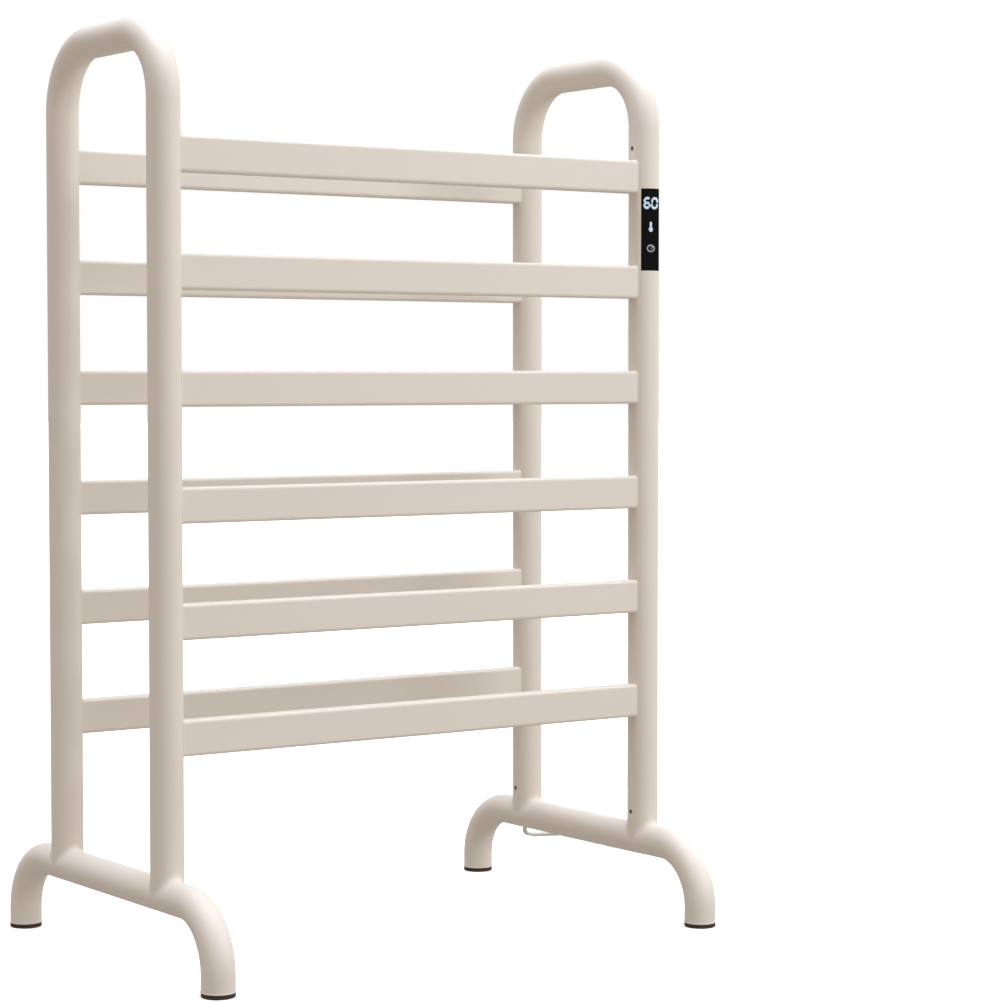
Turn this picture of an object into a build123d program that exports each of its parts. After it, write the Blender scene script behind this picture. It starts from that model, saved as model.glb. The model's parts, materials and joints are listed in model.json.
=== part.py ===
"""Free-standing electric towel rail: two bent-tube end frames carry twelve heated flat rails.

Millimetres, +Z up. The origin is on the floor below the middle of the frame. X runs along the
rails to the right, and Y runs from the front row of rails to the rear row.
"""

import os
from math import cos, pi, radians, sin, tan

from build123d import *

os.makedirs("parts", exist_ok=True)

# End frames
tube_od = 30.0
tube_wall = 1.5
frame_width = 532.0  # left posts to right posts, axis to axis
frame_depth = 196.0  # front posts to rear posts, axis to axis
handle_rise = 109.0  # handle axis above the middle of the top rails
handle_bend_r = 60.0
foot_axis_z = 73.0
foot_bend_r = 55.0
foot_span = 377.0  # front legs to rear legs, axis to axis
weld_gap = 0.05  # clear space where a coped end meets a round tube

# Spigots inside the posts, and the screws that hold the posts on them
spigot_height = 32.0  # above the foot tube
spigot_wall = 2.5
spigot_clearance = 0.1
foot_screw_rise = 13.0  # screw axis above the foot tube
screw_head_r = 2.2
screw_head_h = 1.0
screw_hole_r = 2.3
screw_shank_r = 1.4
screw_length = 6.0
screw_clearance = 0.1
socket_width = 2.0
socket_depth = 0.6

# Rubber foot caps
cap_thickness = 4.0
cap_plug_height = 11.0
cap_clearance = 0.1
cap_edge = 0.8

# Rails
rail_count = 6
lowest_rail_z = 212.0
rail_pitch = 102.8
rail_height = 32.0
rail_thickness = 15.5
rail_wall = 1.5
rail_corner_r = 3.0
rail_reach = 9.5  # rail end to post axis
slot_clearance = 0.15

# Heating loops and the channels in the rails that hold them
leg_offset = 7.0  # leg axis above or below the middle of the rail
loop_wire_r = 2.5
channel_clearance = 0.2
channel_wall = 1.3
channel_rib = 1.2
loop_setback = 4.0  # outside of the turn to the left end of the rail
turn_room = 2.0  # turn to the end of the channels
joint_gap = 0.1

# Wiring in the right end frame
harness_offset = 6.5  # harness axis to tube axis, on the inner side of the bend
harness_r = 3.0
harness_tail = 30.0  # harness below the last rail of the rear row
wire_joint_width = 7.5
wire_joint_height = 20.0
wire_joint_reach = 4.5  # side that faces the rail, from the post axis
wire_joint_front = 2.9
harness_gap = 0.15
cutout_height = 22.0

# Control panel, on the front of the front right post, midway between the two top rails
panel_height = 80.0
panel_face = 11.2  # face to post axis
lens_thickness = 1.2
lens_gap = 0.1
digits_drop = 14.6  # middle of the digits below the top of the panel
key_drops = (37.0, 58.6)  # middles of the temperature and timer keys below the top of the panel
key_names = ("temperature_key", "timer_key")
key_size = 14.0
key_corner_r = 1.5
key_clearance = 0.15
key_flange = 0.9  # flange past the cap on each side
key_flange_t = 0.8
key_stem_r = 1.8
key_travel = 0.5
stem_stop_gap = 0.1  # stem to switch with the key pressed
switch_size = 6.0
switch_height = 1.4
plunger_r = 1.6
plunger_height = 0.5
board_width = 16.0
board_thickness = 1.6
board_margin = 1.0
tray_wall = 0.8
tray_floor = 1.3
tray_width = 18.0
tray_seat = 0.05
digit_block_width = 15.0
digit_block_height = 18.0
tongue_width = 12.0
tongue_front = 9.5
tongue_back = 4.5
control_screw_rise = 28.0  # above the middle of the top rails
boss_height = 16.0
boss_depth = 3.0  # boss behind the post axis
board_lead_rise = 10.0  # above the bottom of the panel
board_lead_r = 2.2

# Cord, its gland and its plug
cord_od = 5.2
cord_exit_z = 177.0
cord_exit_angle = 54.8  # from +X, in plan
gland_neck_r = 5.4
gland_flange_r = 8.0
gland_flange_t = 2.5
gland_sleeve_r = 5.2
gland_tip_r = 3.5
gland_reach = 48.0  # post axis to the tip of the sleeve
gland_gap = 0.1
floor_gap = 0.05
# Route of the cord: distance from the post axis in plan and height, then x and y on the floor
cord_drop = ((78.0, 177.0), (107.0, 171.0), (133.0, 156.5), (155.0, 136.0), (174.0, 111.0),
             (191.0, 84.0), (209.0, 58.0), (229.0, 35.0), (251.5, 17.5), (275.4, 6.5))
cord_turn = ((442.7, 329.1), (460.8, 323.4), (472.0, 308.0))
cord_max_turn_share = 0.45

# Hank of put-away cord, with its runs along Y
hank_left_x = 472.0
hank_width = 32.0
hank_rear_y = 277.0
hank_length = 118.0
hank_fold_r = 15.8
hank_loops = 3  # full loops below the last run, one layer each
hank_layer = 5.65
hank_waist = 2.0
hank_peel = 6.2  # the last run lies this far outside the others
hank_lead = 12.0
tie_width = 14.0
tie_thickness = 1.2
tie_gap = 0.6

# Plug, two round pins
plug_neck_length = 14.0
plug_neck_r = 4.2
plug_length = 36.0
plug_width = 35.3
plug_height = 13.7
plug_corner_r = 5.0
pin_r = 2.0
pin_length = 19.0
pin_bare_length = 9.0  # contact end, beyond its insulating sleeve
pin_core_r = 1.2
pin_sleeve_r = 1.8
pin_spacing = 18.6
pin_root = 4.0
pin_gap = 0.05

# Places worked out from the sizes above
tube_r = tube_od / 2
bore_r = tube_r - tube_wall
post_x = frame_width / 2
post_y = frame_depth / 2
foot_top_z = foot_axis_z + tube_r
foot_screw_z = foot_top_z + foot_screw_rise
rail_zs = [lowest_rail_z + rail_pitch * i for i in reversed(range(rail_count))]
rail_length = frame_width - 2 * rail_reach
handle_axis_z = rail_zs[0] + handle_rise
channel_bore_r = loop_wire_r + channel_clearance
joint_rear = harness_offset - harness_r - harness_gap
panel_z = (rail_zs[0] + rail_zs[1]) / 2
panel_top = panel_z + panel_height / 2
digits_z = panel_top - digits_drop
key_zs = [panel_top - drop for drop in key_drops]
board_lead_z = panel_z - panel_height / 2 + board_lead_rise
control_screw_z = rail_zs[0] + control_screw_rise
lens_back = panel_face - lens_thickness
tray_front = lens_back - lens_gap
tray_back = wire_joint_front + harness_gap  # the tray stays in front of the wire joints
tray_pocket = tray_back + tray_floor
board_back = tray_pocket + tray_seat
board_front = board_back + board_thickness
switch_top = board_front + tray_seat + switch_height + plunger_height
key_back = lens_back - lens_gap
cord_r = cord_od / 2
cord_z = cord_r + floor_gap
exit_dir = (cos(radians(cord_exit_angle)), sin(radians(cord_exit_angle)), 0.0)
hank_right_x = hank_left_x + hank_width
hank_front_y = hank_rear_y - hank_length
hank_mid_y = (hank_rear_y + hank_front_y) / 2
plug_z = plug_height / 2 + floor_gap
hank_z = cord_r + tie_thickness + 2 * floor_gap  # axis of the lowest layer, over the tie
hank_start = (hank_left_x, hank_rear_y + hank_lead, hank_z)
hank_end = (hank_right_x + hank_peel, hank_rear_y + hank_lead, plug_z)

# Through the axis of the front right post, with local x to the right and local y up
control_plane = Plane(origin=(post_x, -post_y, 0), x_dir=(1, 0, 0), z_dir=(0, -1, 0))
# Along the way out of the cord, with local x outwards and local y up
gland_plane = Plane(
    origin=(post_x, post_y, cord_exit_z), x_dir=exit_dir, z_dir=(exit_dir[1], -exit_dir[0], 0)
)

# At the roots of the plug's pins, with local z along them
pin_root_y = hank_end[1] + plug_neck_length + plug_length - pin_root
pin_plane = Plane(origin=(hank_end[0], pin_root_y, plug_z), x_dir=(1, 0, 0), z_dir=(0, 1, 0))
pin_places = ((-pin_spacing / 2, 0), (pin_spacing / 2, 0))


def section_plane(x, y=0.0, z=0.0):
    """Plane across X, with local x along +Y and local y along +Z."""
    return Plane(origin=(x, y, z), x_dir=(0, 1, 0), z_dir=(1, 0, 0))


def save(name, label):
    """Label a finished piece and write it."""
    name.part.label = label
    export_step(name.part, f"parts/{label}.step")
    return name


def corner_radii(points, floor_r):
    """Bend radius for each inner point of a route: 0.45 of its shorter run over tan(half turn)."""
    radii = []
    for before, here, after in zip(points, points[1:], points[2:]):
        run_in, run_out = Vector(*here) - Vector(*before), Vector(*after) - Vector(*here)
        turn = radians(run_in.get_angle(run_out))
        shorter = min(run_in.length, run_out.length)
        radii.append(max(cord_max_turn_share * shorter / tan(turn / 2), floor_r))
    return radii


def make_hoop(side):
    """One end frame's inverted U: two posts and the handle, coped onto the foot tube."""
    x = side * post_x
    with BuildPart() as hoop:
        with BuildLine() as axis:
            FilletPolyline(
                (x, -post_y, foot_axis_z),
                (x, -post_y, handle_axis_z),
                (x, post_y, handle_axis_z),
                (x, post_y, foot_axis_z),
                radius=handle_bend_r,
            )
        with BuildSketch(Plane(origin=axis.line @ 0, z_dir=axis.line % 0)):
            Circle(tube_r)
            Circle(bore_r, mode=Mode.SUBTRACT)
        sweep()
        with BuildSketch(Plane(origin=(x, 0, foot_axis_z), z_dir=(0, 1, 0))):
            Circle(tube_r + weld_gap)
        extrude(amount=frame_depth, both=True, mode=Mode.SUBTRACT)
        with BuildSketch(section_plane(x)):
            with Locations(*[(y, z) for y in (-post_y, post_y) for z in rail_zs]):
                RectangleRounded(
                    rail_thickness + 2 * slot_clearance,
                    rail_height + 2 * slot_clearance,
                    rail_corner_r + slot_clearance,
                )
            with Locations((-post_y, foot_screw_z), (post_y, foot_screw_z)):
                Circle(screw_hole_r)
        extrude(amount=-side * tube_od, mode=Mode.SUBTRACT)
        if side > 0:
            # flat seat and opening for the control panel
            with BuildSketch(control_plane.offset(lens_back)):
                with Locations((0, panel_z)):
                    Rectangle(tube_od + tube_wall, panel_height + 2 * lens_gap)
            extrude(amount=tube_r, mode=Mode.SUBTRACT)
            # hole for the screw of the control housing
            with BuildSketch(section_plane(post_x)):
                with Locations((-post_y, control_screw_z)):
                    Circle(screw_hole_r)
            extrude(amount=-tube_od, mode=Mode.SUBTRACT)
            # hole in the rear post for the neck of the cord's gland
            with BuildSketch(Plane(origin=gland_plane.origin, z_dir=exit_dir)):
                Circle(gland_neck_r + gland_gap)
            extrude(amount=tube_od, mode=Mode.SUBTRACT)
    return hoop


def make_foot_tube(side):
    """Foot tube of one end frame: a straight run with a short bent leg at each end."""
    x = side * post_x
    with BuildPart() as foot:
        with BuildLine() as axis:
            FilletPolyline(
                (x, -foot_span / 2, cap_thickness),
                (x, -foot_span / 2, foot_axis_z),
                (x, foot_span / 2, foot_axis_z),
                (x, foot_span / 2, cap_thickness),
                radius=foot_bend_r,
            )
        with BuildSketch(Plane(origin=axis.line @ 0, z_dir=axis.line % 0)):
            Circle(tube_r)
            Circle(bore_r, mode=Mode.SUBTRACT)
        sweep()
    return foot


def make_spigots(side):
    """Two short stubs welded on top of a foot tube, one inside the bottom of each post."""
    outer_r = bore_r - spigot_clearance
    with BuildPart() as spigots:
        with BuildSketch(Plane.XY.offset(foot_axis_z)):
            with Locations((side * post_x, -post_y), (side * post_x, post_y)):
                Circle(outer_r)
                Circle(outer_r - spigot_wall, mode=Mode.SUBTRACT)
        extrude(amount=tube_r + spigot_height)
        with BuildSketch(Plane(origin=(side * post_x, 0, foot_axis_z), z_dir=(0, 1, 0))):
            Circle(tube_r + weld_gap)
        extrude(amount=frame_depth, both=True, mode=Mode.SUBTRACT)
        with BuildSketch(section_plane(side * post_x)):
            with Locations((-post_y, foot_screw_z), (post_y, foot_screw_z)):
                Circle(screw_shank_r + screw_clearance)
        extrude(amount=-side * tube_od, mode=Mode.SUBTRACT)
    return spigots


def make_screws(places, seat_r):
    """Socket screws along X, each (side, y, z), with the head outside the given seat radius."""
    with BuildPart() as screws:
        for side, y, z in places:
            head_x = side * (post_x - seat_r)
            inward = Plane(origin=(head_x, y, z), z_dir=(side, 0, 0))
            outward = Plane(origin=(head_x, y, z), z_dir=(-side, 0, 0))
            with BuildSketch(inward):
                Circle(screw_shank_r)
            extrude(amount=screw_length)
            with BuildSketch(outward):
                Circle(screw_head_r)
            extrude(amount=screw_head_h)
            with BuildSketch(outward.offset(screw_head_h)):
                RegularPolygon(socket_width / 2, 6)
            extrude(amount=-socket_depth, mode=Mode.SUBTRACT)
    return screws


def make_foot_cap(x, y):
    """Rubber cap: a disc under the leg and a plug up inside it."""
    with BuildPart() as cap:
        with BuildSketch(Plane(origin=(x, y, 0))):
            Circle(tube_r)
        extrude(amount=cap_thickness)
        chamfer(cap.edges().group_by(Axis.Z)[0], cap_edge)
        with BuildSketch(Plane(origin=(x, y, cap_thickness))):
            Circle(bore_r - cap_clearance)
        extrude(amount=cap_plug_height)
        chamfer(cap.edges().group_by(Axis.Z)[-1], cap_edge)
    return cap


def make_rail(y, z):
    """Flat extruded rail with two round channels, tied to both walls by ribs."""
    with BuildPart() as rail:
        with BuildSketch(section_plane(-rail_length / 2, y, z)):
            RectangleRounded(rail_thickness, rail_height, rail_corner_r)
            RectangleRounded(
                rail_thickness - 2 * rail_wall,
                rail_height - 2 * rail_wall,
                rail_corner_r - rail_wall,
                mode=Mode.SUBTRACT,
            )
        extrude(amount=rail_length)
        channel_start = -rail_length / 2 + loop_setback + loop_wire_r + leg_offset + turn_room
        with BuildSketch(section_plane(channel_start, y, z)):
            with Locations((0, -leg_offset), (0, leg_offset)):
                Rectangle(rail_thickness - rail_wall, channel_rib)
                Circle(channel_bore_r + channel_wall)
            with Locations((0, -leg_offset), (0, leg_offset)):
                Circle(channel_bore_r, mode=Mode.SUBTRACT)
        extrude(amount=rail_length / 2 - channel_start)
    return rail


def make_heating_loop(y, z):
    """Hairpin heating wire in its sleeve: two legs along the rail and a turn at the left end."""
    right = post_x - wire_joint_reach - joint_gap
    left = -rail_length / 2 + loop_setback + loop_wire_r + leg_offset
    with BuildPart() as loop:
        with BuildLine() as axis:
            Line((right, y, z + leg_offset), (left, y, z + leg_offset))
            ThreePointArc(
                (left, y, z + leg_offset), (left - leg_offset, y, z), (left, y, z - leg_offset)
            )
            Line((left, y, z - leg_offset), (right, y, z - leg_offset))
        with BuildSketch(Plane(origin=axis.line @ 0, z_dir=axis.line % 0)):
            Circle(loop_wire_r)
        sweep()
    return loop


def make_wire_joints(row):
    """Moulded joints inside a right post, one at each rail, between the loop and the harness."""
    x = post_x - wire_joint_reach + wire_joint_width / 2
    y = row * (post_y + (wire_joint_front - joint_rear) / 2)
    with BuildPart() as joints:
        for z in rail_zs:
            with BuildSketch(Plane.XY.offset(z - wire_joint_height / 2)):
                with Locations((x, y)):
                    RectangleRounded(wire_joint_width, wire_joint_front + joint_rear, channel_rib)
            extrude(amount=wire_joint_height)
    return joints


def make_thermal_cutout():
    """Over-heat cut-out beside the harness in the rear post, between the two top rails."""
    z = (rail_zs[0] + rail_zs[1]) / 2
    with BuildPart() as cutout:
        with BuildSketch(Plane.XY.offset(z - cutout_height / 2)):
            with Locations((post_x, post_y + (wire_joint_front - joint_rear) / 2)):
                RectangleRounded(wire_joint_width, wire_joint_front + joint_rear, channel_rib)
        extrude(amount=cutout_height)
    return cutout


def make_harness():
    """Wiring bundle up the rear right post, through the handle and down the front right post."""
    y, top = post_y - harness_offset, handle_axis_z - harness_offset
    gland_end = gland_plane.from_local_coords((bore_r - tube_wall, 0, 0))
    with BuildPart() as harness:
        with BuildLine() as axis:
            FilletPolyline(
                (post_x, y, lowest_rail_z - rail_height / 2 - harness_tail),
                (post_x, y, top),
                (post_x, -y, top),
                (post_x, -y, lowest_rail_z - rail_height / 2),
                radius=handle_bend_r - harness_offset,
            )
        with BuildSketch(Plane(origin=axis.line @ 0, z_dir=axis.line % 0)):
            Circle(harness_r)
        sweep()
        lead = gland_end - Vector(post_x, y, cord_exit_z)
        with BuildSketch(Plane(origin=(post_x, y, cord_exit_z), z_dir=lead)):
            Circle(cord_r)
        extrude(amount=lead.length - cord_r)
        with BuildSketch(Plane(origin=(post_x, -y, board_lead_z), z_dir=(0, -1, 0))):
            Circle(board_lead_r)
        extrude(amount=harness_offset + board_back - tray_seat)
    return harness


def make_lens():
    """Black front panel: flat face, sides that follow the round post, openings for two keys."""
    with BuildPart() as lens:
        with BuildSketch(control_plane.offset(lens_back)):
            with Locations((0, panel_z)):
                Rectangle(tube_od, panel_height)
            with Locations(*[(0, z) for z in key_zs]):
                RectangleRounded(
                    key_size + 2 * key_clearance,
                    key_size + 2 * key_clearance,
                    key_corner_r + key_clearance,
                    mode=Mode.SUBTRACT,
                )
        extrude(amount=lens_thickness)
        with BuildSketch(Plane(origin=(post_x, -post_y, panel_z - panel_height))):
            Circle(tube_r)
        extrude(amount=2 * panel_height, mode=Mode.INTERSECT)
    return lens


def make_key(z):
    """Key: a cap flush with the panel, a flange behind it and a stem over its switch."""
    flange_size = key_size + 2 * key_flange
    stem_end = switch_top + key_travel + stem_stop_gap
    with BuildPart() as key:
        with BuildSketch(control_plane.offset(key_back)):
            with Locations((0, z)):
                RectangleRounded(key_size, key_size, key_corner_r)
        extrude(amount=panel_face - key_back)
        with BuildSketch(control_plane.offset(key_back)):
            with Locations((0, z)):
                RectangleRounded(flange_size, flange_size, key_corner_r)
        extrude(amount=-key_flange_t)
        with BuildSketch(control_plane.offset(key_back - key_flange_t)):
            with Locations((0, z)):
                Circle(key_stem_r)
        extrude(amount=stem_end - key_back + key_flange_t)
    return key


def make_control_housing():
    """Tray behind the panel, with a tongue up to the boss that its screw goes into."""
    tongue_low, tongue_high = panel_top - tray_wall, control_screw_z + boss_height / 2
    with BuildPart() as tray:
        with BuildSketch(control_plane.offset(tray_back)):
            with Locations((0, panel_z)):
                Rectangle(tray_width, panel_height - 2 * lens_gap)
        extrude(amount=tray_front - tray_back)
        with BuildSketch(control_plane.offset(tray_pocket)):
            with Locations((0, panel_z)):
                Rectangle(tray_width - 2 * tray_wall, panel_height - 2 * lens_gap - 2 * tray_wall)
        extrude(amount=tray_front, mode=Mode.SUBTRACT)
        with BuildSketch(control_plane.offset(tongue_back)):
            with Locations((0, (tongue_low + tongue_high) / 2)):
                Rectangle(tongue_width, tongue_high - tongue_low)
        extrude(amount=tongue_front - tongue_back)
        with BuildSketch(control_plane.offset(-boss_depth)):
            with Locations((-(bore_r + tongue_width / 2) / 2, control_screw_z)):
                Rectangle(bore_r - tongue_width / 2 + tray_wall * 2, boss_height)
        extrude(amount=tongue_front + boss_depth)
        with BuildSketch(Plane(origin=(post_x, -post_y, panel_z - panel_height))):
            Circle(bore_r - spigot_clearance)
        extrude(amount=2 * panel_height, mode=Mode.INTERSECT)
        with BuildSketch(section_plane(post_x)):
            with Locations((-post_y, control_screw_z)):
                Circle(screw_shank_r + screw_clearance)
        extrude(amount=-tube_od, mode=Mode.SUBTRACT)
        with BuildSketch(control_plane):
            with Locations((0, board_lead_z)):
                Circle(board_lead_r + channel_clearance)
        extrude(amount=tray_pocket + tray_seat, mode=Mode.SUBTRACT)
    return tray


def make_control_board():
    """Circuit board on the floor of the tray."""
    height = panel_height - 2 * (lens_gap + tray_wall + board_margin)
    with BuildPart() as board:
        with BuildSketch(control_plane.offset(board_back)):
            with Locations((0, panel_z)):
                Rectangle(board_width, height)
        extrude(amount=board_thickness)
    return board


def make_digit_block():
    """Two-digit display block between the board and the panel."""
    with BuildPart() as block:
        with BuildSketch(control_plane.offset(board_front + tray_seat)):
            with Locations((0, digits_z)):
                Rectangle(digit_block_width, digit_block_height)
        extrude(amount=tray_front - board_front - tray_seat)
        chamfer(block.faces().sort_by(Axis.Y)[0].edges(), tray_wall)
    return block


def make_key_switches():
    """Two small push switches on the board, one behind each key."""
    with BuildPart() as switches:
        with BuildSketch(control_plane.offset(board_front + tray_seat)):
            with Locations(*[(0, z) for z in key_zs]):
                Rectangle(switch_size, switch_size)
        extrude(amount=switch_height)
        with BuildSketch(control_plane.offset(switch_top - plunger_height)):
            with Locations(*[(0, z) for z in key_zs]):
                Circle(plunger_r)
        extrude(amount=plunger_height)
    return switches


def make_gland():
    """Rubber gland: a neck through the post's wall, a flange and a tapered sleeve."""
    flange_end = tube_r + gland_flange_t
    with BuildPart() as gland:
        with BuildSketch(gland_plane):
            with BuildLine():
                Polyline(
                    (bore_r - tube_wall, 0),
                    (bore_r - tube_wall, gland_flange_r),
                    (flange_end, gland_flange_r),
                    (flange_end, gland_sleeve_r),
                    (gland_reach, gland_tip_r),
                    (gland_reach, 0),
                    close=True,
                )
            make_face()
        revolve(axis=Axis(gland_plane.origin, exit_dir))
        with BuildSketch(Plane(origin=(post_x, post_y, cord_exit_z - tube_od))):
            Circle(tube_r + weld_gap)
        extrude(amount=2 * tube_od, mode=Mode.SUBTRACT)
        with BuildSketch(
            Plane(origin=gland_plane.from_local_coords((bore_r - tube_wall, 0, 0)), z_dir=exit_dir)
        ):
            Circle(gland_neck_r)
        extrude(amount=2 * tube_wall + gland_flange_t)
    return gland


def cord_tube(points, radii):
    """Round cord along straight runs joined by tangent arcs."""
    with BuildPart() as tube:
        with BuildLine() as axis:
            FilletPolyline(*points, radius=radii)
        with BuildSketch(Plane(origin=axis.line @ 0, z_dir=axis.line % 0)):
            Circle(cord_r)
        sweep()
    length = axis.wire().length
    expected = pi * cord_r**2 * length
    print(f"cord: length {length:.1f}, volume {tube.part.volume / expected:.4f} of "
          f"section times length, smallest radius {min(radii):.1f}")
    return tube


def cord_route():
    """Points of the cord from the gland's tip, down behind the post and over the floor."""
    drop = [(gland_reach, cord_exit_z), *cord_drop]
    in_air = [(post_x + s * exit_dir[0], post_y + s * exit_dir[1], z) for s, z in drop]
    on_floor = [(x, y, cord_z) for x, y in cord_turn[:-1]]
    return [*in_air, *on_floor, (*cord_turn[-1], hank_z), hank_start]


def hank_points():
    """Points of the hank: stacked loops, each climbing a layer along its right-hand run."""
    left, right = hank_left_x, hank_right_x
    front, mid, rear = hank_front_y, hank_mid_y, hank_rear_y
    points = [hank_start, (left, rear, hank_z)]
    for layer in range(hank_loops):
        low = hank_z + layer * hank_layer
        high = low + hank_layer
        points += [(left + hank_waist, mid, low), (left, front, low), (right, front, low)]
        points += [(right - hank_waist, mid, (low + high) / 2), (right, rear, high)]
        points += [(left, rear, high)]
    outer = right + hank_peel
    points += [(left + hank_waist, mid, high), (left, front, high), (outer, front, high)]
    points += [(outer - hank_waist, mid, (high + plug_z) / 2), (outer, rear, plug_z), hank_end]
    return points


def print_hank_gap(points, radii):
    """Least gap between stretches of the hank that are half a turn or more apart."""
    with BuildLine() as axis:
        FilletPolyline(*points, radius=radii)
    line = axis.wire()
    count = round(line.length / cord_r)
    half_turn = round(pi * hank_fold_r / cord_r)
    samples = [line @ (i / count) for i in range(count + 1)]
    gap = min((a - b).length for i, a in enumerate(samples) for b in samples[i + half_turn:])
    print(f"hank: least gap to itself {gap - cord_od:.2f}")


def make_tie():
    """Flat strap round the middle of the hank."""
    room = cord_r + floor_gap + tie_gap
    x_low = hank_left_x + hank_waist - room
    x_high = hank_right_x + hank_peel - hank_waist + room
    inner_low = floor_gap + tie_thickness
    inner_high = hank_z + hank_loops * hank_layer + room
    middle = ((x_low + x_high) / 2, -(inner_low + inner_high) / 2)
    width, height = x_high - x_low, inner_high - inner_low
    with BuildPart() as tie:
        with BuildSketch(
            Plane(origin=(0, hank_mid_y - tie_width / 2, 0), x_dir=(1, 0, 0), z_dir=(0, 1, 0))
        ):
            with Locations(middle):
                RectangleRounded(width + 2 * tie_thickness, height + 2 * tie_thickness, cord_r)
                RectangleRounded(width, height, cord_r - tie_thickness, mode=Mode.SUBTRACT)
        extrude(amount=tie_width)
    return tie


def make_plug_body():
    """Flat two-pin plug body with a round neck for the cord."""
    x, y, _ = hank_end
    body_y = y + plug_neck_length
    with BuildPart() as plug:
        with BuildSketch(Plane(origin=(x, body_y, plug_z), z_dir=(0, 1, 0), x_dir=(1, 0, 0))):
            RectangleRounded(plug_width, plug_height, plug_corner_r)
        extrude(amount=plug_length)
        fillet(plug.edges().group_by(Axis.Y)[0], pin_r)
        with BuildSketch(Plane(origin=(x, y, plug_z), z_dir=(0, 1, 0))):
            Circle(cord_r + floor_gap)
        with BuildSketch(Plane(origin=(x, body_y, plug_z), z_dir=(0, 1, 0))):
            Circle(plug_neck_r)
        loft()
        with BuildSketch(Plane(origin=(x, body_y + plug_length, plug_z), z_dir=(0, 1, 0),
                               x_dir=(1, 0, 0))):
            with Locations(*pin_places):
                Circle(pin_sleeve_r + pin_gap)
        extrude(amount=-pin_root - pin_gap, mode=Mode.SUBTRACT)
    return plug


def make_plug_pins():
    """Two contact pins: a thin core rooted in the plug body and a round bare end."""
    with BuildPart() as pins:
        with BuildSketch(pin_plane):
            with Locations(*pin_places):
                Circle(pin_core_r)
        extrude(amount=pin_root + pin_length - pin_bare_length)
        with BuildSketch(pin_plane.offset(pin_root + pin_length - pin_bare_length)):
            with Locations(*pin_places):
                Circle(pin_r)
        extrude(amount=pin_bare_length)
        fillet(pins.edges().group_by(Axis.Y)[-1], pin_r / 2)
    return pins


def make_pin_sleeves():
    """Insulating sleeves on the cores of the two pins."""
    with BuildPart() as sleeves:
        with BuildSketch(pin_plane):
            with Locations(*pin_places):
                Circle(pin_sleeve_r)
                Circle(pin_core_r + pin_gap, mode=Mode.SUBTRACT)
        extrude(amount=pin_root + pin_length - pin_bare_length - pin_gap)
    return sleeves


save(make_hoop(-1), "left_hoop")
save(make_hoop(1), "right_hoop")
for side, side_name in ((-1, "left"), (1, "right")):
    save(make_foot_tube(side), f"{side_name}_foot_tube")
    save(make_spigots(side), f"{side_name}_spigots")
    for end, end_name in ((-1, "front"), (1, "rear")):
        cap = make_foot_cap(side * post_x, end * foot_span / 2)
        save(cap, f"{end_name}_{side_name}_foot_cap")

for row, row_name in ((-1, "front"), (1, "rear")):
    for number, z in enumerate(rail_zs, start=1):
        save(make_rail(row * post_y, z), f"{row_name}_rail_{number}")
        save(make_heating_loop(row * post_y, z), f"{row_name}_heating_loop_{number}")
    save(make_wire_joints(row), f"{row_name}_wire_joints")

foot_screw_places = [(s, e * post_y, foot_screw_z) for s in (-1, 1) for e in (-1, 1)]
save(make_screws(foot_screw_places, bore_r - weld_gap), "foot_screws")
save(make_screws([(1, -post_y, control_screw_z)], bore_r - weld_gap), "control_screw")
save(make_thermal_cutout(), "thermal_cutout")
save(make_harness(), "wiring_harness")

save(make_lens(), "front_panel")
save(make_control_housing(), "control_housing")
save(make_control_board(), "control_board")
save(make_digit_block(), "display_block")
save(make_key_switches(), "key_switches")
for key_name, z in zip(key_names, key_zs):
    save(make_key(z), key_name)

save(make_gland(), "cord_gland")
route = cord_route()
route_radii = corner_radii(route, 0)
print("cord radii:", [round(r, 1) for r in route_radii])
save(cord_tube(route, route_radii), "power_cord")
loops = hank_points()
loop_radii = corner_radii(loops, hank_fold_r)
print("hank radii:", [round(r, 1) for r in loop_radii])
print_hank_gap(loops, loop_radii)
save(cord_tube(loops, loop_radii), "cord_hank")
save(make_tie(), "cord_tie")
save(make_plug_body(), "plug_body")
save(make_plug_pins(), "plug_pins")
save(make_pin_sleeves(), "pin_sleeves")
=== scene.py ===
import json
from math import atan2, cos, pi, radians, sin, sqrt

import bmesh
import bpy
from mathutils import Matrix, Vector


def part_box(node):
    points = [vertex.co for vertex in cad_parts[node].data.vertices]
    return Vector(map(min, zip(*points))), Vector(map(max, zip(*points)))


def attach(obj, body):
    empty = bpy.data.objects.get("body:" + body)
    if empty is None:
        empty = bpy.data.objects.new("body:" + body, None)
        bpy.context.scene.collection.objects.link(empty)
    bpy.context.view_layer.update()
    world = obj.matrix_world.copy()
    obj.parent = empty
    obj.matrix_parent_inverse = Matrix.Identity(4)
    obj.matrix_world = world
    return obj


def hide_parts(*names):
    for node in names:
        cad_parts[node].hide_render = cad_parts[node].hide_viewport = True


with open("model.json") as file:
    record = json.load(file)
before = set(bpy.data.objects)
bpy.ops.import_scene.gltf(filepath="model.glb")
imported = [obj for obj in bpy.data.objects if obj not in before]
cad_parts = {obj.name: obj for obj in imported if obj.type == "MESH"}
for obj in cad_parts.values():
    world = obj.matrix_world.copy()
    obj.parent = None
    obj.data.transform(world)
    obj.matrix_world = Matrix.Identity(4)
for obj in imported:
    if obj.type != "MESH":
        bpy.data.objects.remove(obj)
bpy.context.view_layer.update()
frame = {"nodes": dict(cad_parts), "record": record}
nodes = frame["nodes"]

# Camera, fitted to the photograph; metres and degrees
photo_px = 1003
focal_px = 2778.75
camera_place = (-1.4285, -2.2568, 0.5311)
camera_yaw = 35.209  # from +Y towards +X
camera_pitch = -2.577
sensor_width = 36.0  # millimetres

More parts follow.
